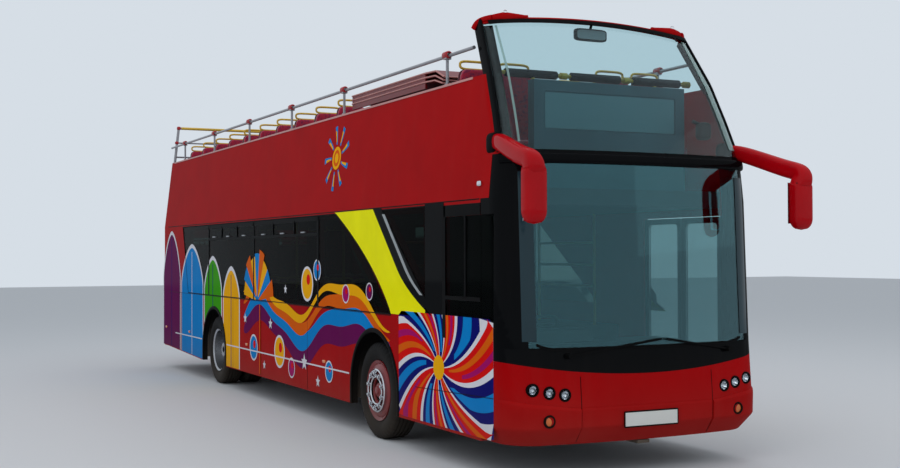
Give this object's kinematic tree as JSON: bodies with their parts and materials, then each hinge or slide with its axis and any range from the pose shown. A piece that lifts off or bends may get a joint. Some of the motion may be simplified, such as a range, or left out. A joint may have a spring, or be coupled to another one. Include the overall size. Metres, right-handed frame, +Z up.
{
  "type": "open top double decker bus",
  "caption": "Open top double decker bus with raked upper screen, open upper deck of seats, side handrails, twin-leaf entrance door and rear engine lid.",
  "frame": {"origin": "on the ground under the middle of the whole outline", "axes": "+Z up, the bus faces -Y, +X is its left side, the entrance side"},
  "size_m": [2.786, 12.4315, 3.965],
  "materials": {
    "body_red": "gloss",
    "trim_black": "satin",
    "clear_glass": "polished",
    "dark_glass": "polished",
    "chassis_black": "satin",
    "floor_grey": "textured",
    "cast_grey": "rough",
    "engine_grey": "rough",
    "rim_paint": "gloss",
    "rim_silver": "satin",
    "tyre_rubber": "worn",
    "seat_crimson": "woven",
    "hoop_yellow": "gloss",
    "rail_grey": "satin",
    "hood_red": "satin",
    "mirror_red": "gloss",
    "mirror_face": "polished",
    "lamp_clear": "polished",
    "lamp_red": "polished",
    "plate_white": "satin",
    "cab_grey": "textured",
    "wheel_box_grey": "textured"
  },
  "bodies": {
    "root": {"chassis_frame": "chassis_black", "dashboard": "cab_grey", "engine_block": "engine_grey", "front_axle_beam": "cast_grey", "front_bumper": "body_red", "front_grab_rail": "hoop_yellow", "front_lamps": "lamp_clear", "handrails": "rail_grey", "lower_floor": "floor_grey", "lower_seats": "seat_crimson", "lower_sides": "body_red", "mirror_glass": "mirror_face", "mirrors": "mirror_red", "number_plates": "plate_white", "partitions": "cab_grey", "rear_axle": "cast_grey", "rear_guard": "rail_grey", "rear_lamps": "lamp_red", "rear_panel_lower": "body_red", "rear_panel_upper": "body_red", "saloon_glass": "dark_glass", "seat_hoops": "hoop_yellow", "sign_box": "trim_black", "stair_hood": "hood_red", "stairs": "floor_grey", "upper_floor": "floor_grey", "upper_screen_frame": "trim_black", "upper_screen_rail": "body_red", "upper_seats": "seat_crimson", "upper_sides": "body_red", "wheel_boxes": "wheel_box_grey", "windscreen_frame": "trim_black", "windscreen_lower": "clear_glass", "windscreen_upper": "clear_glass", "wipers": "trim_black"},
    "knuckle_left": {"knuckle_left": "cast_grey"},
    "knuckle_right": {"knuckle_right": "cast_grey"},
    "track_rod": {"track_rod": "chassis_black"},
    "wheel_front_left": {"rim_front_left": "rim_paint", "tyre_front_left": "tyre_rubber"},
    "wheel_front_right": {"rim_front_right": "rim_paint", "tyre_front_right": "tyre_rubber"},
    "wheel_rear_left": {"rim_rear_left": "rim_silver", "tyres_rear_left": "tyre_rubber"},
    "wheel_rear_right": {"rim_rear_right": "rim_silver", "tyres_rear_right": "tyre_rubber"},
    "door_front": {"door_leaf_front": "trim_black", "door_glass_front": "dark_glass"},
    "door_rear": {"door_leaf_rear": "trim_black", "door_glass_rear": "dark_glass"},
    "engine_lid": {"engine_lid": "body_red"}
  },
  "joints": [
    {"name": "steer_left", "type": "hinge", "parent": "root", "child": "knuckle_left", "pos_m": [0.88, -2.9055, 0.478], "axis": [0, 0, 1], "range_deg": [-42, 42]},
    {"name": "steer_right", "type": "hinge", "parent": "root", "child": "knuckle_right", "pos_m": [-0.88, -2.9055, 0.478], "axis": [0, 0, 1], "range_deg": [-42, 42]},
    {"name": "track_rod_pivot", "type": "hinge", "parent": "knuckle_left", "child": "track_rod", "pos_m": [0.88, -2.7055, 0.236], "axis": [0, 0, 1], "range_deg": [-42, 42]},
    {"name": "roll_front_left", "type": "hinge", "parent": "knuckle_left", "child": "wheel_front_left", "pos_m": [1.107, -2.9055, 0.478], "axis": [1, 0, 0], "continuous": true},
    {"name": "roll_front_right", "type": "hinge", "parent": "knuckle_right", "child": "wheel_front_right", "pos_m": [-1.107, -2.9055, 0.478], "axis": [1, 0, 0], "continuous": true},
    {"name": "roll_rear_left", "type": "hinge", "parent": "root", "child": "wheel_rear_left", "pos_m": [1, 2.9995, 0.478], "axis": [1, 0, 0], "continuous": true},
    {"name": "roll_rear_right", "type": "hinge", "parent": "root", "child": "wheel_rear_right", "pos_m": [-1, 2.9995, 0.478], "axis": [1, 0, 0], "continuous": true},
    {"name": "door_front_swing", "type": "hinge", "parent": "root", "child": "door_front", "pos_m": [1.244, -5.1755, 0.388], "axis": [0, 0, 1], "range_deg": [0, 85]},
    {"name": "door_rear_swing", "type": "hinge", "parent": "root", "child": "door_rear", "pos_m": [1.244, -4.0155, 0.388], "axis": [0, 0, -1], "range_deg": [0, 85]},
    {"name": "engine_lid_lift", "type": "hinge", "parent": "root", "child": "engine_lid", "pos_m": [0, 6.2095, 1.44], "axis": [1, 0, 0], "range_deg": [0, 75]}
  ],
  "couplings": [
    {"joint": "steer_right", "follows": "steer_left", "ratio": 1},
    {"joint": "track_rod_pivot", "follows": "steer_left", "ratio": -1},
    {"joint": "door_rear_swing", "follows": "door_front_swing", "ratio": 1}
  ]
}
